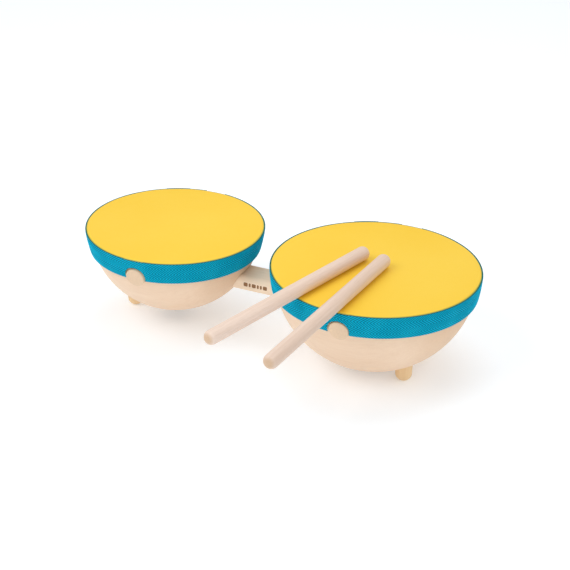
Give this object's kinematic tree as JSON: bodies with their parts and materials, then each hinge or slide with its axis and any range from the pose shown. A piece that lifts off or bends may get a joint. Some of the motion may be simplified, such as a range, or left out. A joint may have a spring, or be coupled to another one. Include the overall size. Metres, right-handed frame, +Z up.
{
  "type": "bongo drums",
  "caption": "Child's bongo: a small and a large wooden bowl drum joined by a flat wooden bar, with stretched heads, woven bands, stub feet and loose mallets lying on the large drum.",
  "frame": {"origin": "on the floor, under the middle of the object's box, mallets included", "axes": "+X along the bar from the small drum to the large one, +Y away from the player's side where the mallets' free ends are, +Z up"},
  "size_m": [0.3728, 0.2953, 0.1065],
  "materials": {
    "bowl_wood": "pale close-grained hardwood, sanded, clear satin finish",
    "foot_wood": "golden hardwood dowel, satin",
    "peg_wood": "pale hardwood dowel, satin",
    "bridge_wood": "pale hardwood, satin",
    "mallet_wood": "pale pinkish hardwood dowel, sanded",
    "head_rubber": "yellow stretched rubber sheet, matt",
    "band_webbing": "teal herringbone webbing",
    "fastener_steel": "zinc-plated steel"
  },
  "bodies": {
    "root": {"left_bowl": "bowl_wood", "right_bowl": "bowl_wood", "left_foot": "foot_wood", "right_front_foot": "foot_wood", "right_rear_foot": "foot_wood", "left_front_peg": "peg_wood", "left_rear_peg": "peg_wood", "right_front_peg": "peg_wood", "right_rear_peg": "peg_wood", "bridge_bar": "bridge_wood", "left_head": "head_rubber", "right_head": "head_rubber", "left_band": "band_webbing", "right_band": "band_webbing", "left_head_tacks": "fastener_steel", "right_head_tacks": "fastener_steel", "left_bridge_screws": "fastener_steel", "right_bridge_screws": "fastener_steel", "left_bridge_washers": "fastener_steel", "right_bridge_washers": "fastener_steel"},
    "left_mallet": {"left_mallet": "mallet_wood"},
    "right_mallet": {"right_mallet": "mallet_wood"}
  },
  "joints": [
    {"name": "left_mallet_lift", "type": "slide", "parent": "root", "child": "left_mallet", "axis": [0, 0, 1], "range_m": [0, 0.12]},
    {"name": "right_mallet_lift", "type": "slide", "parent": "root", "child": "right_mallet", "axis": [0, 0, 1], "range_m": [0, 0.12]}
  ]
}
